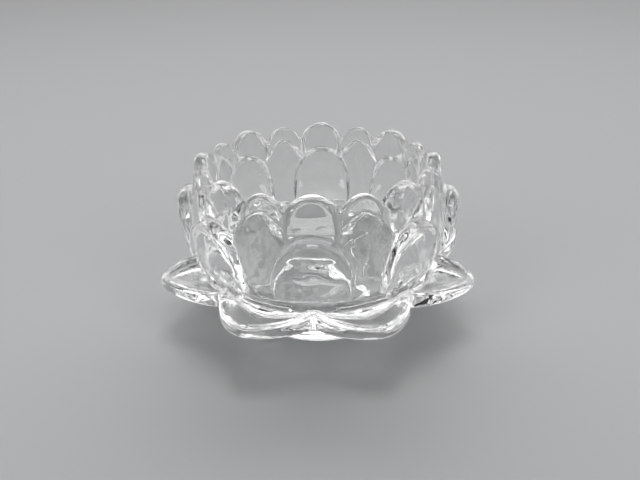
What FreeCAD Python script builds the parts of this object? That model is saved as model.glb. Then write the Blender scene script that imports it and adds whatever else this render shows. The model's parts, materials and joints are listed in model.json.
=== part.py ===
import FreeCAD, Part
import math
import os

# Lotus bowl of clear pressed glass, in millimetres. The origin is the middle of the foot's underside,
# +Z is up and -Y is the front. Eight-fold tiers of petals stand round a smooth round cup.

# Counts and angles
petals_per_tier = 8
full_turn = 360.0
pitch_angle = full_turn / petals_per_tier
half_pitch_angle = pitch_angle / 2
front_angle = 270.0

# Cup: smooth inside, with a scalloped rim
rim_height = 77.0
rim_inner_radius = 48.6
floor_height = 14.0
floor_radius = 20.0
bowl_round = 26.5
cup_wall = 5.0
shoulder_height = floor_height + bowl_round
shoulder_inner_radius = floor_radius + bowl_round

# Rim petals: tall ones in front, short ones between them and a little behind
rim_spring_height = 62.0
tall_rim_half_width = 12.3
short_rim_height = 76.0
short_rim_half_width = 9.9
rim_shoulder_width_share = 0.716
rim_shoulder_rise_share = 0.69
rim_recess = 1.5

# Middle petals: pointed arches that lie against the cup and stand on the foot dish's rim
ledge_height = 31.0
middle_tip_height = 68.0
middle_tip_radius = 55.4
middle_belly_height = 47.0
middle_belly_radius = 57.4
middle_foot_radius = 54.0
middle_arch_height = 56.6
middle_arch_half_width = 13.7
middle_shoulder_width_share = 0.6
middle_shoulder_rise_share = 0.6
middle_skirt_height = 45.0

# The recesses between the tall rim petals end behind the middle petals
rim_recess_floor = middle_arch_height

# Standing petals: thick pillows with a rounded outline
standing_tip_height = 61.5
standing_half_width = 15.7
standing_foot_height = 33.0
standing_foot_half_width = 13.4
standing_waist_rise_share = 0.4
standing_shoulder_width_share = 0.713
standing_shoulder_rise_share = 0.807
pillow_centre_radius = 34.5
standing_foot_radius = 57.0
standing_belly_radius = 62.2
standing_belly_height = 40.5
standing_bulge_radius = 64.5
standing_bulge_height = 53.0
standing_brow_radius = 63.5
standing_brow_height = 58.8
standing_crown_radius = 60.2
standing_crown_height = 62.5
standing_bevel = 1.8

# Splayed petals: shallow spoons that spread out from the foot dish, with a cleft between them
seat_radius = 53.0
splayed_tip_radius = 75.0
splayed_corner_radius = 73.9
splayed_corner_half_width = 3.8
splayed_flank_radius = 69.3
splayed_flank_half_width = 9.8
splayed_shoulder_radius = 63.4
splayed_shoulder_half_width = 15.6
splayed_side_radius = 57.6
splayed_side_half_width = 19.3
splayed_cleft_gap = 0.8
splayed_rim_inset = 1.6
splayed_rim_height = 28.0
splayed_nose_height = 26.0
splayed_under_height = 23.7
splayed_belly_radius = 64.0
splayed_belly_height = 21.4
splayed_root_height = 20.0
splayed_root_thickness = 6.6
spoon_root_half_width = 16.0
spoon_root_depth = 3.0
spoon_end_radius = 71.5

# Foot dish: the underside, which carries the cup and the splayed petals
foot_radius = 35.0
foot_corner = 2.2
foot_recess_radius = 24.0
foot_recess_slope = 2.0
foot_recess_depth = 2.0
dish_side_radius = 47.2
dish_side_height = 10.6

# How far a cutting shape runs past what it cuts
overrun = 5.0

origin = FreeCAD.Vector(0, 0, 0)
up = FreeCAD.Vector(0, 0, 1)
outward = FreeCAD.Vector(1, 0, 0)


def profile_point(radius, height):
    """A point of a side profile, which is turned about the Z axis."""
    return FreeCAD.Vector(radius, 0, height)


def outline_point(across, height):
    """A point of a petal's outline as seen from outside, along the X axis."""
    return FreeCAD.Vector(0, across, height)


def plan_point(radius, across):
    """A point of a petal's outline as seen from above."""
    return FreeCAD.Vector(radius, across, 0)


def between(low, high, share):
    return low + (high - low) * share


def mirrored(point):
    return FreeCAD.Vector(point.x, -point.y, point.z)


def line(start, end):
    return Part.LineSegment(start, end).toShape()


def arc(start, middle, end):
    return Part.Arc(start, middle, end).toShape()


def path(points):
    return [line(start, end) for start, end in zip(points, points[1:])]


def face(edges):
    return Part.Face(Part.Wire(edges))


def spun(profile):
    return profile.revolve(origin, up, full_turn)


def turned(shape, angle):
    copy = shape.copy()
    copy.rotate(origin, up, angle)
    return copy


def ring_of(shape, first_angle):
    """One copy of a shape per petal of a tier, as a list."""
    return [turned(shape, first_angle + pitch_angle * index) for index in range(petals_per_tier)]


def sector_of(profile):
    """A profile turned through one petal's pitch, half to each side of the X axis."""
    return turned(profile.revolve(origin, up, pitch_angle), -half_pitch_angle)


def cup_form(wall, top):
    """The solid of revolution that lies one wall thickness outside the cup's inner face."""
    slope = (rim_inner_radius - shoulder_inner_radius) / (rim_height - shoulder_height)
    reach = bowl_round + wall
    floor_edge = profile_point(floor_radius, shoulder_height - reach)
    diagonal = reach / math.sqrt(2)
    bend = profile_point(floor_radius + diagonal, shoulder_height - diagonal)
    shoulder = profile_point(floor_radius + reach, shoulder_height)
    rim = profile_point(rim_inner_radius + wall + slope * (top - rim_height), top)
    walls = path([shoulder, rim, profile_point(0, top), profile_point(0, floor_edge.z), floor_edge])
    return spun(face([arc(floor_edge, bend, shoulder)] + walls))


def rim_window(tip_height, half_width):
    """A round-headed block that stands for one rim petal, pointing along the X axis."""
    tip = outline_point(0, tip_height)
    shoulder_height = between(rim_spring_height, tip_height, rim_shoulder_rise_share)
    shoulder = outline_point(half_width * rim_shoulder_width_share, shoulder_height)
    spring = outline_point(half_width, rim_spring_height)
    foot = outline_point(half_width, rim_recess_floor - overrun)
    outline = face([
        arc(tip, shoulder, spring),
        line(spring, foot),
        line(foot, mirrored(foot)),
        line(mirrored(foot), mirrored(spring)),
        arc(mirrored(spring), mirrored(shoulder), tip),
    ])
    outline.translate(outward * (shoulder_inner_radius - overrun))
    return outline.extrude(outward * (rim_inner_radius - shoulder_inner_radius + cup_wall + overrun * 2))


def make_cup():
    """Smooth inside; the rim's petals and the recesses between the tall ones are cut from outside."""
    tall = ring_of(rim_window(rim_height, tall_rim_half_width), 0)
    short = ring_of(rim_window(short_rim_height, short_rim_half_width), half_pitch_angle)
    shell = cup_form(cup_wall, rim_height).cut(cup_form(0, rim_height + overrun))
    reach = rim_inner_radius + cup_wall + overrun
    sky = Part.makeCylinder(reach, rim_height - rim_spring_height + overrun, up * rim_spring_height)
    band = Part.makeCylinder(reach, rim_height - rim_recess_floor + overrun, up * rim_recess_floor)
    recess = band.cut(cup_form(cup_wall - rim_recess, rim_height + overrun * 2)).cut(tall)
    return shell.cut(sky.cut(tall).cut(short)).cut(recess)


def make_foot_dish():
    """A turned dish that fits the cup's underside, with a recess inside its foot ring."""
    ring_inner = foot_recess_radius + foot_recess_slope
    side_foot = profile_point(foot_radius, foot_corner)
    side_top = profile_point(seat_radius, splayed_root_height)
    underside = path([
        profile_point(0, ledge_height),
        profile_point(0, foot_recess_depth),
        profile_point(foot_recess_radius, foot_recess_depth),
        profile_point(ring_inner, 0),
        profile_point(foot_radius - foot_corner, 0),
        side_foot,
    ])
    side = arc(side_foot, profile_point(dish_side_radius, dish_side_height), side_top)
    top = path([side_top, profile_point(seat_radius, ledge_height), profile_point(0, ledge_height)])
    return spun(face(underside + [side] + top))


def make_middle_petal(cup, hollow):
    """A sector of a curved band under a pointed arch; its skirt reaches behind the standing petals."""
    tip_ring = profile_point(middle_tip_radius, middle_tip_height)
    belly_ring = profile_point(middle_belly_radius, middle_belly_height)
    foot_ring = profile_point(middle_foot_radius, ledge_height)
    inner = path([
        tip_ring,
        profile_point(shoulder_inner_radius, middle_tip_height),
        profile_point(shoulder_inner_radius, ledge_height),
        foot_ring,
    ])
    band = sector_of(face([arc(foot_ring, belly_ring, tip_ring)] + inner))
    seam = middle_belly_radius * math.sin(math.radians(half_pitch_angle))
    tip = outline_point(0, middle_tip_height)
    shoulder_height = between(middle_arch_height, middle_tip_height, middle_shoulder_rise_share)
    shoulder = outline_point(middle_arch_half_width * middle_shoulder_width_share, shoulder_height)
    arch = outline_point(middle_arch_half_width, middle_arch_height)
    hem = outline_point(seam, middle_skirt_height)
    corner = outline_point(seam + overrun, middle_skirt_height)
    foot = outline_point(seam + overrun, ledge_height)
    right = [arc(tip, shoulder, arch)] + path([arch, hem, corner, foot, mirrored(foot)])
    left = path([mirrored(foot), mirrored(corner), mirrored(hem), mirrored(arch)])
    outline = face(right + left + [arc(mirrored(arch), mirrored(shoulder), tip)])
    window = outline.extrude(outward * (middle_belly_radius + overrun))
    return band.common(window).cut([cup, hollow])


def standing_outline(inset, distance):
    """The wire of a standing petal's outline, drawn in by an inset, at a distance from the bowl's axis."""
    waist_height = between(standing_foot_height, standing_tip_height, standing_waist_rise_share)
    shoulder_height = between(standing_foot_height, standing_tip_height, standing_shoulder_rise_share)
    shoulder_half_width = standing_half_width * standing_shoulder_width_share
    foot = outline_point(standing_foot_half_width - inset, standing_foot_height)
    waist = outline_point(standing_half_width - inset, waist_height)
    shoulder = outline_point(shoulder_half_width - inset, shoulder_height - inset)
    tip = outline_point(0, standing_tip_height - inset)
    wire = Part.Wire([
        line(mirrored(foot), foot),
        arc(foot, waist, shoulder),
        arc(shoulder, tip, mirrored(shoulder)),
        arc(mirrored(shoulder), mirrored(waist), mirrored(foot)),
    ])
    return wire.translated(outward * distance)


def make_standing_petal(cup, hollow, neighbours):
    """A barrel-fronted pillow with tapered sides, cut behind to fit the cup and two middle petals."""
    axis = profile_point(pillow_centre_radius, 0)
    low = profile_point(standing_foot_radius, standing_foot_height)
    belly = profile_point(standing_belly_radius, standing_belly_height)
    bulge = profile_point(standing_bulge_radius, standing_bulge_height)
    brow = profile_point(standing_brow_radius, standing_brow_height)
    crown = profile_point(standing_crown_radius, standing_crown_height)
    core_top = profile_point(pillow_centre_radius, standing_crown_height)
    core_foot = profile_point(pillow_centre_radius, standing_foot_height)
    front = [arc(low, belly, bulge), arc(bulge, brow, crown)]
    barrel = face(front + path([crown, core_top, core_foot, low])).revolve(axis, up, full_turn)
    inner_outline = standing_outline(0, shoulder_inner_radius + cup_wall / 2)
    outer_outline = standing_outline(standing_bevel, standing_bulge_radius + overrun)
    block = Part.makeLoft([inner_outline, outer_outline], True, True)
    return block.common(barrel).cut(cup).cut(hollow).cut(neighbours)


def spoon_scoop():
    """The hollow of a splayed petal: the low side of a level cone that narrows towards the petal's tip."""
    rise = (spoon_root_half_width**2 - spoon_root_depth**2) / (spoon_root_depth * 2)
    start = seat_radius * math.cos(math.radians(half_pitch_angle))
    end = FreeCAD.Vector(start, 0, splayed_rim_height + rise)
    return Part.makeCone(rise + spoon_root_depth, rise, spoon_end_radius - start, end, outward)


def splayed_outline():
    """The petal seen from above: a blunt point with full shoulders and nearly parallel sides."""
    half_pitch = math.radians(half_pitch_angle)
    cleft_radius = seat_radius + splayed_cleft_gap
    cleft = plan_point(cleft_radius * math.cos(half_pitch), cleft_radius * math.sin(half_pitch))
    tip = plan_point(splayed_tip_radius, 0)
    corner = plan_point(splayed_corner_radius, splayed_corner_half_width)
    flank = plan_point(splayed_flank_radius, splayed_flank_half_width)
    shoulder = plan_point(splayed_shoulder_radius, splayed_shoulder_half_width)
    side = plan_point(splayed_side_radius, splayed_side_half_width)
    root = plan_point(seat_radius - overrun * 2, cleft.y)
    return face([
        line(mirrored(root), mirrored(cleft)),
        arc(mirrored(cleft), mirrored(side), mirrored(shoulder)),
        arc(mirrored(shoulder), mirrored(flank), mirrored(corner)),
        arc(mirrored(corner), tip, corner),
        arc(corner, flank, shoulder),
        arc(shoulder, side, cleft),
        line(cleft, root),
        line(root, mirrored(root)),
    ])


def make_splayed_petal():
    """A thick spoon with a level rim; its root bears on the side of the foot dish."""
    rim_end = splayed_tip_radius - splayed_rim_inset
    root_low = profile_point(seat_radius, splayed_root_height)
    belly = profile_point(splayed_belly_radius, splayed_belly_height)
    under = profile_point(rim_end, splayed_under_height)
    nose = profile_point(splayed_tip_radius, splayed_nose_height)
    rim = profile_point(rim_end, splayed_rim_height)
    root_high = profile_point(seat_radius, splayed_root_height + splayed_root_thickness)
    edges = [arc(root_low, belly, under), arc(under, nose, rim)]
    body = sector_of(face(edges + path([rim, root_high, root_low])))
    petal = body.common(splayed_outline().extrude(up * rim_height))
    return petal.cut(spoon_scoop())


os.makedirs("parts", exist_ok=True)
cup = make_cup()
hollow = cup_form(0, rim_height + overrun)
dish = make_foot_dish().cut(cup_form(cup_wall, rim_height))
middle = make_middle_petal(cup, hollow)
beside = [turned(middle, half_pitch_angle), turned(middle, -half_pitch_angle)]
standing = make_standing_petal(cup, hollow, beside)
splayed = make_splayed_petal()

cup.exportStep("parts/candle_cup.step")
dish.exportStep("parts/foot_dish.step")
for name, shape, first_angle in [
    ("middle_petal", middle, front_angle + half_pitch_angle),
    ("standing_petal", standing, front_angle),
    ("splayed_petal", splayed, front_angle + half_pitch_angle),
]:
    for number, petal in enumerate(ring_of(shape, first_angle), start=1):
        petal.exportStep(f"parts/{name}_{number}.step")
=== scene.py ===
import json
import math
import bpy
import numpy as np
from mathutils import Matrix, Vector


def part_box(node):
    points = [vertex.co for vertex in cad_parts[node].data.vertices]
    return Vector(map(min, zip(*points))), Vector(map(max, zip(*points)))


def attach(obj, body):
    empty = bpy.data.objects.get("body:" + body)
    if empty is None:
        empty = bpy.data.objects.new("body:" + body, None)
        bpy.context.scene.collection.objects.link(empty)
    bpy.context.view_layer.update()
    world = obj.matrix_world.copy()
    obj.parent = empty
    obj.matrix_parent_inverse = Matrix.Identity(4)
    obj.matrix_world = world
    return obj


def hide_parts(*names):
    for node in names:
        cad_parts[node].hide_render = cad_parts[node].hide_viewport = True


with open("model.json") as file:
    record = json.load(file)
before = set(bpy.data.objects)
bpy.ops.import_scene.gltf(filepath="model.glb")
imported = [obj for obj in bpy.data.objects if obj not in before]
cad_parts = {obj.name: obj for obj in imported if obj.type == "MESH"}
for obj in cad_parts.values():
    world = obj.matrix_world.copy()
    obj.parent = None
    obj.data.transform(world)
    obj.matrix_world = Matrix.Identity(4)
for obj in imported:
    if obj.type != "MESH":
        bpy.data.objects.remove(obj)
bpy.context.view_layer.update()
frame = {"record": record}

# A pressed-glass lotus bowl. Lengths are in millimetres, out from the bowl's axis and up from the table, unless
# a name says otherwise. The bowl is one smooth field, below 0 in the glass. It is meshed once and divided into
# the CAD's pieces, which come in five classes: cup, middle petals, standing petals, foot dish, splayed petals.
MM = 0.001
PETALS = 8  # in each tier
PITCH = 2 * math.pi / PETALS
HALF = PITCH / 2
FRONT = 1.5 * math.pi  # the direction of standing_petal_1, towards the camera
TINY = 1e-9  # keeps a division from failing


def mm(metres):
    """A length of the frame in millimetres, without the noise in its last digits."""
    return round(metres / MM, 2)


# What the shapes take from the CAD
candle_floor = next(mount for mount in frame["record"]["mounts"] if mount["name"] == "candle_floor")
FLOOR_TOP = mm(candle_floor["pos_m"][2])
FLOOR_RADIUS = candle_floor["dims"]["r_mm"]
RIM_TOP = mm(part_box("candle_cup")[1][2])
DISH_RADIUS = mm(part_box("foot_dish")[1][0])
DISH_TOP = mm(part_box("foot_dish")[1][2])
MIDDLE_FOOT = mm(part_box("middle_petal_1")[0][2])
STAND_FOOT = mm(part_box("standing_petal_1")[0][2])

# Camera: fitted to the photo's tiers of petals
PITCH_DOWN = math.radians(25.25)
DISTANCE = 312.5
YAW = math.radians(2.47)
ROLL = math.radians(-0.96)
LENS = 37.04
SENSOR = 36.0
TARGET = Vector((0.78, 0.0, 34.0))

camera_data = bpy.data.cameras.new("camera")
camera_data.lens = LENS
camera_data.sensor_width = SENSOR
camera = bpy.data.objects.new("camera", camera_data)
bpy.context.scene.collection.objects.link(camera)
back_off = Vector((0, -math.cos(PITCH_DOWN), math.sin(PITCH_DOWN))) * DISTANCE
turned = Matrix.Rotation(YAW, 4, "Z")
tilt = Matrix.Rotation(math.pi / 2 - PITCH_DOWN, 4, "X") @ Matrix.Rotation(ROLL, 4, "Z")
camera.matrix_world = turned @ Matrix.Translation((TARGET + back_off) * MM) @ tilt
bpy.context.scene.camera = camera


# Field tools. A point is in a shape where the shape's field is below 0. Fields are close to a distance in mm.
CENTRE_SOFT = 1e-6  # keeps an ellipse's slope finite at its centre


def smax(a, b, k):
    """What both shapes hold, with the edge between them rounded over a width k."""
    h = np.maximum(k - np.abs(a - b), 0) / k
    return np.maximum(a, b) + h * h * h * (k / 6)


def smin(a, b, k):
    """What either shape holds, with the valley between them filled over a width k."""
    h = np.maximum(k - np.abs(a - b), 0) / k
    return np.minimum(a, b) - h * h * h * (k / 6)


def ellipse(across, up, a, b):
    """Distance to an ellipse with half axes a and b, nearly exact close to its edge."""
    k0 = np.sqrt((across / a) ** 2 + (up / b) ** 2 + CENTRE_SOFT)
    k1 = np.sqrt((across / (a * a)) ** 2 + (up / (b * b)) ** 2 + CENTRE_SOFT / (a * a))
    return k0 * (k0 - 1) / k1


def arc(u, v, centre_u, centre_v, radius):
    """Distance to a circle in the plane of u and v."""
    return np.hypot(u - centre_u, v - centre_v) - radius


def soft_abs(across, soft):
    """Distance from a petal's middle line, rounded near it: soft is the square of its least value."""
    return np.sqrt(across * across + soft)


def grown(value, start, width):
    """0 up to a start, and 1 from a width beyond it."""
    return np.clip((value - start) / width, 0, 1)


# The cup's hollow: the flat candle floor, a round, and a wall that leans out a little
FLOOR_ROUND = 26.5
LEAN = 0.0575  # outwards for each mm up
LEAN_FROM = 36.5  # the height where the lean starts
LEAN_OVER = 8.0  # the height over which it becomes whole


def hollow_of(r, z):
    """Distance to the cup's hollow, below 0 in it."""
    lean = np.maximum(z - LEAN_FROM, 0)
    lean = np.where(lean < LEAN_OVER, lean * lean / (2 * LEAN_OVER), lean - LEAN_OVER / 2)
    out = r - LEAN * lean - FLOOR_RADIUS
    down = FLOOR_TOP + FLOOR_ROUND - z
    corner = np.hypot(np.maximum(out, 0), np.maximum(down, 0))
    return corner + np.minimum(np.maximum(out, down), 0) - FLOOR_ROUND


# The cup's shell, below its rim
SHELL_WALL = 5.0
SHELL_LIP = 1.0  # round between its two faces
SHELL_TOP = 58.5
SHELL_EDGE = 3.0  # round at its top
SHELL_VALLEY = 1.2  # fill between it and the rim

# The cup's rim: tall and short petals in turn. Each has a wall that thickens downwards and is crowned across its
# outside, cut off on top by a half ellipse. On a tall petal that cut slants back, most at the shoulders.
RIM_DEPTH = 17.0  # how far down the walls go on thickening
RIM_VALLEY = 0.8  # fill between neighbours

TALL_HALF = 12.3  # half width
TALL_RISE = 15.3  # height of the half ellipse
TALL_SPRING = 61.66  # where the half ellipse starts
TALL_WALL = 5.0  # at the top, beside the crown
TALL_THICKEN = 0.2  # more wall for each mm down
TALL_CROWN = 1.2  # more wall on the middle line
TALL_CROWN_HALF = 12.5  # across, where the crown is down to 0
TALL_LIP = 2.2  # round between its two faces
TALL_EDGE = 3.0  # round between its faces and the cut
TALL_SLANT = 0.1  # fall of the cut for each mm out
TALL_SHOULDER = 0.4  # more fall at the shoulders
TALL_SHOULDER_AT = 9.0  # across, where that fall is whole
TALL_SLANT_FROM = 3.0  # out from the hollow, where the fall starts
TALL_EASE = 0.92  # keeps the slanted field close to a distance

# The same values for a short petal, whose cut doesn't slant
SHORT_HALF = 9.9
SHORT_RISE = 13.5
SHORT_SPRING = 62.33
SHORT_WALL = 3.5
SHORT_THICKEN = 0.06
SHORT_CROWN = 0.5
SHORT_CROWN_HALF = 10.0
SHORT_LIP = 2.0
SHORT_EDGE = 3.2


def cup_field(z, hollow, across_tall, across_short):
    drop = np.clip(RIM_TOP - z, 0, RIM_DEPTH)
    crown = TALL_CROWN * (1 - (across_tall / TALL_CROWN_HALF) ** 2)
    wall = smax(-hollow, hollow - TALL_WALL - TALL_THICKEN * drop - crown, TALL_LIP)
    tall = ellipse(across_tall, np.maximum(z - TALL_SPRING, 0), TALL_HALF, TALL_RISE)
    slant = TALL_SLANT + TALL_SHOULDER * np.minimum((across_tall / TALL_SHOULDER_AT) ** 2, 1)
    tall = (tall + slant * np.maximum(hollow - TALL_SLANT_FROM, 0)) * TALL_EASE
    tall = smax(wall, tall, TALL_EDGE)
    crown = SHORT_CROWN * (1 - (across_short / SHORT_CROWN_HALF) ** 2)
    wall = smax(-hollow, hollow - SHORT_WALL - SHORT_THICKEN * drop - crown, SHORT_LIP)
    short = ellipse(across_short, np.maximum(z - SHORT_SPRING, 0), SHORT_HALF, SHORT_RISE)
    short = smax(wall, short, SHORT_EDGE)
    shell = smax(smax(-hollow, hollow - SHELL_WALL, SHELL_LIP), z - SHELL_TOP, SHELL_EDGE)
    return smin(smin(tall, short, RIM_VALLEY), shell, SHELL_VALLEY)


# Every other piece runs into the cup's wall, where the cup has the glass, so no gap is left between them
ROOT = 2.5  # how near to the hollow they go
ROOT_EDGE = 0.5

# Middle petals: a curved face, crowned across, under a roof of two arcs that meet in a soft point. The roof
# slants back where the petal stands out. A lower skirt fills the gaps between the petals. An arc is given by its
# centre and radius.
SHIN = (6.08, 49.75, 51.46)  # side view of the face
MIDDLE_OUT = 0.5  # how far the face stands out from the shin, on the middle line
MIDDLE_CROWN = 0.9  # fall of the face at the half width below
MIDDLE_CROWN_HALF = 14.0
MIDDLE_CROWN_MOST = 1.6  # in half widths, where the fall ends
MIDDLE_FOOT_EDGE = 1.0
MIDDLE_VALLEY = 0.8  # fill between neighbours
ROOF = (-14.0, 40.0, 32.5)  # in front view, with its centre on the other side of the middle line
ROOF_SOFT = 0.3  # rounds the point
ROOF_EDGE = 1.6
ROOF_SLANT = 0.15  # fall for each mm out
ROOF_SHOULDER = 0.7  # more fall at the shoulders
ROOF_SHOULDER_AT = 7.0
ROOF_SLANT_FROM = 53.5
ROOF_EASE = 0.85
SKIRT_IN = 1.8  # how far it lies behind the shin
SKIRT_TOP = 45.0
SKIRT_EDGE = 1.0


def middle_field(r, z, behind, across_mid, across_next):
    shin = arc(r, z, *SHIN)
    foot = smax(MIDDLE_FOOT - z, behind, ROOT_EDGE)

    def petal(across):
        bend = np.minimum(across / MIDDLE_CROWN_HALF, MIDDLE_CROWN_MOST) ** 2
        face = shin - MIDDLE_OUT + MIDDLE_CROWN * bend
        roof = arc(soft_abs(across, ROOF_SOFT), z, *ROOF)
        slant = ROOF_SLANT + ROOF_SHOULDER * np.minimum((across / ROOF_SHOULDER_AT) ** 2, 1)
        roof = (roof + slant * np.maximum(r - ROOF_SLANT_FROM, 0)) * ROOF_EASE
        return smax(smax(face, roof, ROOF_EDGE), foot, MIDDLE_FOOT_EDGE)

    skirt = smax(smax(shin + SKIRT_IN, z - SKIRT_TOP, SKIRT_EDGE), foot, MIDDLE_FOOT_EDGE)
    return smin(smin(petal(across_mid), petal(across_next), MIDDLE_VALLEY), skirt, MIDDLE_VALLEY)


# Standing petals: a lower arc and a round cap in side view, cut by an upright ellipse in front view. Their faces
# turn about an axis that moves in towards the bowl's as they go down, from a dome on top to a nearly flat foot.
STAND_AXIS = 34.5  # at the top
STAND_FLAT = 30.0  # how far in it moves
STAND_FLAT_UNTIL = 36.0  # the height up to which it stays in
STAND_FLAT_OVER = 18.0  # the height over which it comes out
STAND_LOW = (-9.9, 56.84, 40.15)  # out from the axis at the top, up, and radius
STAND_CAP_OUT = 21.8  # where the cap's round starts
STAND_CAP_UP = 55.6
STAND_CAP_ROUND = 8.4
STAND_CAP_EDGE = 2.5
STAND_HALF = 15.7  # of the ellipse, across
STAND_RISE = 18.9  # of the ellipse, above its middle
STAND_SPRING = 42.81  # the ellipse's middle
STAND_STRETCH = 0.8  # below the ellipse's middle heights count this much, so it is longer there
STAND_SLANT = 0.1  # fall of the cut for each mm out
STAND_SLANT_FROM = 27.0
STAND_EDGE = 0.7  # round of the side edges at the foot
STAND_EDGE_MORE = 3.1  # and what it gains higher up
STAND_EDGE_FROM = 34.0
STAND_EDGE_OVER = 10.0
STAND_FOOT_EDGE = 0.7


def standing_field(z, behind, along, across):
    flat = STAND_FLAT * (1 - grown(z, STAND_FLAT_UNTIL, STAND_FLAT_OVER))
    out = np.hypot(np.maximum(along - STAND_AXIS + flat, 0), across) - flat
    low = arc(out, z, *STAND_LOW)
    cap = arc(np.maximum(out - STAND_CAP_OUT, 0), np.maximum(z - STAND_CAP_UP, 0), 0, 0, STAND_CAP_ROUND)
    lift = z - STAND_SPRING
    lift = np.where(lift > 0, lift, lift * STAND_STRETCH)
    edge = ellipse(across, lift, STAND_HALF, STAND_RISE) + STAND_SLANT * (out - STAND_SLANT_FROM)
    width = STAND_EDGE + STAND_EDGE_MORE * grown(z, STAND_EDGE_FROM, STAND_EDGE_OVER)
    petal = smax(smax(low, cap, STAND_CAP_EDGE), edge, width)
    return smax(smax(petal, STAND_FOOT - z, STAND_FOOT_EDGE), behind, ROOT_EDGE)


# The foot dish: a round bowl on a foot, with a shallow domed recess under it
BOWL_FLAT = 23.8  # radius of the bowl's flat middle
BOWL_UP = 31.53  # centre of its round
BOWL_ROUND = 31.395
DISH_EDGE = 2.0
DISH_TOP_EDGE = 0.5
DISH_ROOT_EDGE = 0.3
FOOT_RADIUS = 35.0
FOOT_EDGE = 2.4
FOOT_TOP = 6.0
FOOT_TOP_EDGE = 1.0
FOOT_VALLEY = 1.5
RECESS_RADIUS = 25.0
RECESS_DEPTH = 3.0  # on the axis, 1 mm more than at the recess's edge
RECESS_EDGE = 0.8


def dish_field(r, z, behind):
    bowl = np.hypot(np.maximum(r - BOWL_FLAT, 0), z - BOWL_UP) - BOWL_ROUND
    bowl = smax(smax(bowl, r - DISH_RADIUS, DISH_EDGE), z - DISH_TOP, DISH_TOP_EDGE)
    foot = smax(smax(r - FOOT_RADIUS, -z, FOOT_EDGE), z - FOOT_TOP, FOOT_TOP_EDGE)
    recess = smax(z - RECESS_DEPTH + (r / RECESS_RADIUS) ** 2, r - RECESS_RADIUS, RECESS_EDGE)
    dish = smax(smin(bowl, foot, FOOT_VALLEY), -recess, RECESS_EDGE)
    return smax(dish, behind, DISH_ROOT_EDGE)


# Splayed petals: in plan two flank arcs that meet at a blunt tip, in side view a round underside and a top that
# climbs outwards, dished inside its border
SPLAY_FLANK = (-14.2, 41.1, 37.35)  # across to the other side, out from the axis, and radius
SPLAY_TIP = 74.9
SPLAY_TIP_EDGE = 3.5
SPLAY_TIP_SOFT = 0.36  # rounds the tip
SPLAY_UNDER = (46.95, 111.43, 91.5)  # out, up, and radius
SPLAY_TOP = 27.2  # height of the border at the radius below
SPLAY_TOP_AT = 53.0
SPLAY_CLIMB = 0.085  # upwards for each mm out
SPLAY_RIM_EDGE = 1.5  # round between top and underside
SPLAY_BORDER = 3.2
SPLAY_DEPTH = 1.4  # of the dish, times the root of the distance in from its border
SPLAY_DEPTH_SOFT = 0.3  # eases the start of the dish
SPLAY_DISH_SOFT = 0.0144  # keeps a crisp line along the dish's middle
SPLAY_EASE = 0.93
SPLAY_EDGE = 1.0  # round of the flanks at the root
SPLAY_EDGE_MORE = 2.0  # and what it gains further out
SPLAY_EDGE_FROM = 54.0
SPLAY_EDGE_OVER = 16.0
SPLAY_ROOT = 45.0
SPLAY_ROOT_EDGE = 1.0
SPLAY_VALLEY = 3.0  # fill between neighbours


def splayed_outline(along, across, soft):
    flank = arc(soft_abs(across, soft), along, *SPLAY_FLANK)
    return smax(flank, along - SPLAY_TIP, SPLAY_TIP_EDGE)


def splayed_field(r, z, along, across):
    inset = np.maximum(-splayed_outline(along, across, SPLAY_DISH_SOFT) - SPLAY_BORDER, 0)
    depth = SPLAY_DEPTH * (np.sqrt(inset + SPLAY_DEPTH_SOFT) - math.sqrt(SPLAY_DEPTH_SOFT))
    rim = SPLAY_TOP + (r - SPLAY_TOP_AT) * SPLAY_CLIMB
    petal = smax((z - rim + depth) * SPLAY_EASE, arc(r, z, *SPLAY_UNDER), SPLAY_RIM_EDGE)
    width = SPLAY_EDGE + SPLAY_EDGE_MORE * grown(r, SPLAY_EDGE_FROM, SPLAY_EDGE_OVER)
    petal = smax(petal, splayed_outline(along, across, SPLAY_TIP_SOFT), width)
    return smax(petal, SPLAY_ROOT - r, SPLAY_ROOT_EDGE)


# The fill where each class meets those before it
STAND_MEETS = 1.0
DISH_MEETS = 1.2
SPLAY_MEETS = 1.4
CUP_MEETS = 1.0


def class_fields(x, y, z):
    """The cup, middle, standing, dish and splayed fields at each point.

    Each tier repeats by the pitch and mirrors at its petals' middle lines, so one folded angle serves them all.
    "on" is the nearest petal at a multiple of the pitch, and "mid" and "next" are the nearest two between these.
    """
    r = np.hypot(x, y)
    turn = np.mod(np.arctan2(y, x), PITCH)
    fold = np.minimum(turn, PITCH - turn)
    along_on, across_on = r * np.cos(fold), r * np.sin(fold)
    along_mid, across_mid = r * np.cos(HALF - fold), r * np.sin(HALF - fold)
    along_next, across_next = r * np.cos(HALF + fold), r * np.sin(HALF + fold)
    hollow = hollow_of(r, z)
    behind = ROOT - hollow
    splayed_mid = splayed_field(r, z, along_mid, across_mid)
    splayed_next = splayed_field(r, z, along_next, across_next)
    return (
        cup_field(z, hollow, across_on, across_mid),
        middle_field(r, z, behind, across_mid, across_next),
        standing_field(z, behind, along_on, across_on),
        dish_field(r, z, behind),
        smin(splayed_mid, splayed_next, SPLAY_VALLEY),
    )


def bowl_field(x, y, z):
    """The whole bowl, with soft valleys between its classes."""
    cup, middle, standing, dish, splayed = class_fields(x, y, z)
    whole = smin(middle, standing, STAND_MEETS)
    whole = smin(whole, dish, DISH_MEETS)
    whole = smin(whole, splayed, SPLAY_MEETS)
    return smin(whole, cup, CUP_MEETS)


def gradient(function, p, step):
    g = np.empty_like(p)
    for axis in range(3):
        d = np.zeros(3)
        d[axis] = step
        g[:, axis] = (function(*(p + d).T) - function(*(p - d).T)) / (2 * step)
    return g


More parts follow.
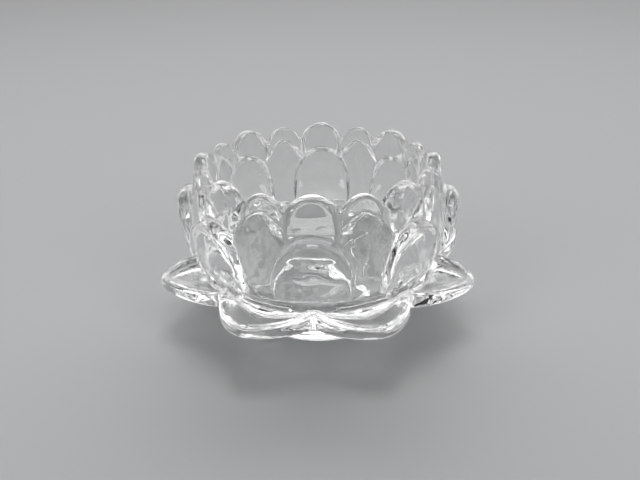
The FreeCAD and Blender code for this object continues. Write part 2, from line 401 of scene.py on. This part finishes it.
# Pieces are numbered class by class, and air is 0. Where fields overlap, the earlier class has the glass.
CUP, MIDDLE, STANDING, DISH, SPLAYED = range(5)
CLASSES = (
    ("candle_cup", 1),
    ("middle_petal", PETALS),
    ("standing_petal", PETALS),
    ("foot_dish", 1),
    ("splayed_petal", PETALS),
)
AIR = 0
NAMES = ["air"]
FIRST = []
for class_name, count in CLASSES:
    FIRST.append(len(NAMES))
    NAMES += [class_name] if count == 1 else [f"{class_name}_{n + 1}" for n in range(count)]
CLASS_OF = np.zeros(len(NAMES), int)
for kind, (class_name, count) in enumerate(CLASSES):
    CLASS_OF[FIRST[kind]:FIRST[kind] + count] = kind


def margins(fields):
    """A field for each class but the last, below 0 where the class and not a later one has the glass."""
    found = {}
    rest = fields[SPLAYED]
    for kind in (DISH, STANDING, MIDDLE, CUP):
        found[kind] = fields[kind] - np.maximum(rest, 0)
        rest = np.minimum(rest, fields[kind])
    return found


def labels_of(x, y, whole, fields):
    """The number of the piece at each point."""
    kind = np.full(whole.shape, SPLAYED, np.int8)
    for one, margin in margins(fields).items():  # the earliest class comes last and wins
        kind[margin < 0] = one
    angle = np.mod(np.arctan2(y, x) - FRONT, 2 * math.pi) / PITCH
    on = np.mod(np.round(angle), PETALS).astype(np.int8)
    between = np.floor(angle).astype(np.int8) % PETALS
    number = np.where(kind == STANDING, on, 0)
    number = np.where((kind == MIDDLE) | (kind == SPLAYED), between, number)
    return np.where(whole > 0, AIR, np.array(FIRST)[kind] + number)


# Surface nets over a grid of cells: a vertex in each cell that a surface crosses, and a face across each grid
# edge whose ends lie in different pieces. Neighbours share the faces between them, so every piece is closed.
CELL = 0.86  # keeps each piece under 200,000 triangles
LOW = np.array([-78.0, -78.0, -2.0])
HIGH = np.array([78.0, 78.0, 79.0])
GRADIENT_STEP = 0.02  # for moving the vertices
NORMAL_STEP = 0.05  # for shading
FLATTEST = 0.05  # least squared slope that a Newton step divides by
ROUNDS = 4
SKIN_STEPS = 2  # in each round
CORNERS = 4  # of a face
SPLIT_REACH = 0.35 * CELL
SKIN_REACH = 0.5 * CELL
MOST_DRIFT = 0.9 * CELL

shape = np.ceil((HIGH - LOW) / CELL).astype(int) + 1
cells = shape - 1
gx, gy, gz = np.ix_(*(LOW[a] + CELL * np.arange(shape[a]) for a in range(3)))
gx, gy, gz = gx.astype(np.float32), gy.astype(np.float32), gz.astype(np.float32)
whole = bowl_field(gx, gy, gz)
label = labels_of(gx, gy, whole, class_fields(gx, gy, gz))


def crossings(axis):
    """Grid edges along an axis whose ends differ: the cells round each, its cut and the pieces at its ends."""
    near, far = [slice(None)] * 3, [slice(None)] * 3
    near[axis], far[axis] = slice(0, -1), slice(1, None)
    near, far = tuple(near), tuple(far)
    u, v = (axis + 1) % 3, (axis + 2) % 3
    index = np.argwhere(label[near] != label[far])
    at = tuple(index.T)
    ends = label[near][at], label[far][at]
    value, value_far = whole[near][at], whole[far][at]
    skin = (ends[0] == AIR) | (ends[1] == AIR)
    cut = index.astype(float)
    cut[:, axis] += np.where(skin, value / np.where(skin, value - value_far, 1), 0.5)
    around = []
    for du, dv in ((1, 1), (0, 1), (0, 0), (1, 0)):
        cell = index.copy()
        cell[:, u] -= du
        cell[:, v] -= dv
        around.append((cell[:, 0] * cells[1] + cell[:, 1]) * cells[2] + cell[:, 2])
    return np.stack(around, axis=1), cut, *ends


quads, cuts, owner, owner_far = (np.concatenate(found) for found in zip(*map(crossings, range(3))))
vertex_cells, vertex = np.unique(quads.ravel(), return_inverse=True)
total = len(vertex_cells)
quads = vertex.reshape(quads.shape)
on_air = (owner == AIR) | (owner_far == AIR)


def mean_cut(counts):
    """Where the cuts round each vertex lie on average, and how many of them count."""
    number = np.bincount(vertex, counts, total)
    sums = [np.bincount(vertex, np.repeat(cuts[:, a], CORNERS) * counts, total) for a in range(3)]
    return np.stack(sums, axis=1) / np.maximum(number, 1)[:, None], number


skin_mean, skin_number = mean_cut(np.repeat(on_air, CORNERS).astype(float))
on_skin = skin_number > 0
points = np.where(on_skin[:, None], skin_mean, mean_cut(np.ones(len(vertex)))[0]) * CELL + LOW

lowest, highest = np.full(total, len(NAMES)), np.zeros(total, int)
larger, smaller = np.maximum(owner, owner_far), np.minimum(owner, owner_far)
np.minimum.at(lowest, vertex, np.repeat(np.where(on_air, larger, smaller), CORNERS))
np.maximum.at(highest, vertex, np.repeat(larger, CORNERS))
low_kind = CLASS_OF[lowest]
on_split = low_kind != CLASS_OF[highest]
on_plane = ~on_split & (lowest != highest)


def cut_short(step, limit):
    """A step with its length held to a limit."""
    length = np.linalg.norm(step, axis=1)
    return step * np.minimum(1, limit / np.maximum(length, TINY))[:, None]


def pulled(p, function, limit):
    """One Newton step towards a function's zero set, no longer than a limit."""
    g = gradient(function, p, GRADIENT_STEP)
    step = g * (function(*p.T) / np.maximum((g * g).sum(1), FLATTEST))[:, None]
    return p - cut_short(step, limit)


def to_plane(p):
    """The nearest point on the upright planes, a pitch apart, that hold the axis."""
    angle = np.arctan2(p[:, 1], p[:, 0])
    plane = np.round(angle / PITCH) * PITCH
    off = np.cos(plane) * p[:, 1] - np.sin(plane) * p[:, 0]
    return p + np.stack([np.sin(plane) * off, -np.cos(plane) * off, 0 * off], axis=1)


def split_field(x, y, z):
    """For the vertices between two classes: 0 where the earlier class gives way."""
    found = margins(class_fields(x, y, z))
    return np.choose(low_kind[on_split], [found[kind] for kind in range(SPLAYED)])


start = points.copy()
for _ in range(ROUNDS):
    points[on_split] = pulled(points[on_split], split_field, SPLIT_REACH)
    points[on_plane] = to_plane(points[on_plane])
    for _ in range(SKIN_STEPS):
        points[on_skin] = pulled(points[on_skin], bowl_field, SKIN_REACH)
points = start + cut_short(points - start, MOST_DRIFT)
points[on_skin] = pulled(points[on_skin], bowl_field, SKIN_REACH)
points[:, 2] = np.maximum(points[:, 2], 0.0)

# The skin is shaded by the field's own slope
normals = np.zeros_like(points)
normals[on_skin] = gradient(bowl_field, points[on_skin], NORMAL_STEP)
normals /= np.maximum(np.linalg.norm(normals, axis=1), TINY)[:, None]


# Materials
GLASS_TINT = (0.94, 0.948, 0.943, 1)
GLASS_INDEX = 1.52
RIPPLE_SCALE = 90.0  # waves of about 11 mm
RIPPLE_DETAIL = 2.0
RIPPLE_ROUGHNESS = 0.4
RIPPLE_STRENGTH = 0.5
RIPPLE_HEIGHT_M = 0.0006
PALE_GREY = (0.42, 0.427, 0.432, 1)
FLOOR_ROUGHNESS = 0.7


def new_material(name):
    material = bpy.data.materials.new(name)
    material.use_nodes = True
    return material, material.node_tree


def clear_glass():
    """Clear glass with the slow ripple of a fire-polished surface."""
    material, tree = new_material("clear_glass")
    shader = tree.nodes["Principled BSDF"]
    shader.inputs["Base Color"].default_value = GLASS_TINT
    shader.inputs["Transmission Weight"].default_value = 1.0
    shader.inputs["IOR"].default_value = GLASS_INDEX
    shader.inputs["Roughness"].default_value = 0.0
    place = tree.nodes.new("ShaderNodeTexCoord")
    wave = tree.nodes.new("ShaderNodeTexNoise")
    wave.inputs["Scale"].default_value = RIPPLE_SCALE
    wave.inputs["Detail"].default_value = RIPPLE_DETAIL
    wave.inputs["Roughness"].default_value = RIPPLE_ROUGHNESS
    bump = tree.nodes.new("ShaderNodeBump")
    bump.inputs["Strength"].default_value = RIPPLE_STRENGTH
    bump.inputs["Distance"].default_value = RIPPLE_HEIGHT_M
    tree.links.new(place.outputs["Object"], wave.inputs["Vector"])
    tree.links.new(wave.outputs["Fac"], bump.inputs["Height"])
    tree.links.new(bump.outputs["Normal"], shader.inputs["Normal"])
    return material


def bond_film():
    """The faces where two pieces are bonded: the glass runs on through them."""
    material, tree = new_material("bond_film")
    tree.nodes.clear()
    clear = tree.nodes.new("ShaderNodeBsdfTransparent")
    out = tree.nodes.new("ShaderNodeOutputMaterial")
    tree.links.new(clear.outputs[0], out.inputs["Surface"])
    return material


def floor_paint():
    material, tree = new_material("floor")
    shader = tree.nodes["Principled BSDF"]
    shader.inputs["Base Color"].default_value = PALE_GREY
    shader.inputs["Roughness"].default_value = FLOOR_ROUGHNESS
    return material


SURFACES = clear_glass(), bond_film()
GLASS_SLOT, FILM_SLOT = 0, 1


def make_piece(number, name):
    """The closed mesh of one piece: glass where it meets the air, and film where it meets another piece."""
    keep = (owner == number) | (owner_far == number)
    faces_out = owner[keep] == number
    mine = np.where(faces_out[:, None], quads[keep], quads[keep][:, ::-1])
    air = on_air[keep]
    used, local = np.unique(mine.ravel(), return_inverse=True)
    mesh = bpy.data.meshes.new(name + "_glass")
    mesh.vertices.add(len(used))
    mesh.vertices.foreach_set("co", (points[used] * MM).astype(np.float32).ravel())
    mesh.loops.add(mine.size)
    mesh.loops.foreach_set("vertex_index", local.astype(np.int32).ravel())
    mesh.polygons.add(len(mine))
    mesh.polygons.foreach_set("loop_start", np.arange(0, mine.size, CORNERS, dtype=np.int32))
    mesh.polygons.foreach_set("loop_total", np.full(len(mine), CORNERS, np.int32))
    mesh.polygons.foreach_set("material_index", np.where(air, GLASS_SLOT, FILM_SLOT).astype(np.int32))
    mesh.update(calc_edges=True)
    mesh.validate()
    for material in SURFACES:
        mesh.materials.append(material)
    mesh.polygons.foreach_set("use_smooth", np.ones(len(mine), bool))
    corners = points[mine]
    flat = np.cross(corners[:, 2] - corners[:, 0], corners[:, 3] - corners[:, 1])
    flat /= np.maximum(np.linalg.norm(flat, axis=1), TINY)[:, None]
    flat = np.repeat(flat, CORNERS, axis=0)
    shaded = np.where(np.repeat(air, CORNERS)[:, None], normals[mine.ravel()], flat)
    mesh.normals_split_custom_set(shaded.tolist())
    piece = bpy.data.objects.new(name + "_glass", mesh)
    bpy.context.scene.collection.objects.link(piece)
    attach(piece, "root")
    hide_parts(name)


for number, name in enumerate(NAMES):
    if number != AIR:
        make_piece(number, name)


# Studio, in metres and watts: a pale floor, two tall softboxes in front and a large one above. A sky that is
# bright behind the bowl and dark elsewhere gives the glass its edges. Low down, it is as pale as the floor.
FLOOR_HALF_M = 6.0
FLOOR_DROP_M = 0.0002  # keeps the floor clear of the foot
LAMPS_LOOK_AT_M = Vector((0, 0, 0.04))
SKY_DARK = (0.01, 0.01, 0.01, 1)
SKY_BRIGHT = (2.3, 2.3, 2.3, 1)
SKY_BACK_FROM = 0.45  # a direction's share to the back, where the sky starts to brighten
SKY_BACK_FULL = 0.6
SKY_LOW_UNTIL = 0.16  # a direction's share upwards, where the floor's grey starts to end
SKY_HIGH_FROM = 0.21

end = FLOOR_HALF_M
floor_mesh = bpy.data.meshes.new("floor")
floor_mesh.from_pydata([(-end, -end, 0), (end, -end, 0), (end, end, 0), (-end, end, 0)], [], [(0, 1, 2, 3)])
floor_mesh.materials.append(floor_paint())
floor = bpy.data.objects.new("floor", floor_mesh)
floor.location.z = -FLOOR_DROP_M
bpy.context.scene.collection.objects.link(floor)


def softbox(name, place, size, power):
    data = bpy.data.lights.new(name, "AREA")
    data.shape = "RECTANGLE"
    data.size, data.size_y = size
    data.energy = power
    light = bpy.data.objects.new(name, data)
    light.location = place
    light.rotation_euler = (Vector(place) - LAMPS_LOOK_AT_M).to_track_quat("Z", "Y").to_euler()
    bpy.context.scene.collection.objects.link(light)


softbox("left_box", place=(-1.0, -0.9, 1.0), size=(0.5, 0.9), power=5.8)
softbox("right_box", place=(1.0, -0.9, 1.0), size=(0.5, 0.9), power=5.0)
softbox("top_box", place=(0.0, 0.2, 1.9), size=(0.8, 0.8), power=13.0)

world = bpy.data.worlds.new("studio")
bpy.context.scene.world = world
world.use_nodes = True
tree = world.node_tree
direction = tree.nodes.new("ShaderNodeTexCoord")
parts = tree.nodes.new("ShaderNodeSeparateXYZ")
sweep = tree.nodes.new("ShaderNodeValToRGB")
dark, bright = sweep.color_ramp.elements
dark.position, dark.color = SKY_BACK_FROM, SKY_DARK
bright.position, bright.color = SKY_BACK_FULL, SKY_BRIGHT
rise = tree.nodes.new("ShaderNodeMapRange")
rise.inputs["From Min"].default_value = SKY_LOW_UNTIL
rise.inputs["From Max"].default_value = SKY_HIGH_FROM
blend = tree.nodes.new("ShaderNodeMixRGB")
blend.inputs["Color1"].default_value = PALE_GREY
tree.links.new(direction.outputs["Generated"], parts.inputs[0])
tree.links.new(parts.outputs["Y"], sweep.inputs[0])
tree.links.new(parts.outputs["Z"], rise.inputs["Value"])
tree.links.new(rise.outputs["Result"], blend.inputs["Fac"])
tree.links.new(sweep.outputs[0], blend.inputs["Color2"])
tree.links.new(blend.outputs[0], tree.nodes["Background"].inputs["Color"])

# Light passes many walls of glass and bond films on its way
scene = bpy.context.scene
scene.view_settings.view_transform = "Standard"
scene.cycles.max_bounces = 32
scene.cycles.transmission_bounces = 32
scene.cycles.glossy_bounces = 16
scene.cycles.transparent_max_bounces = 64
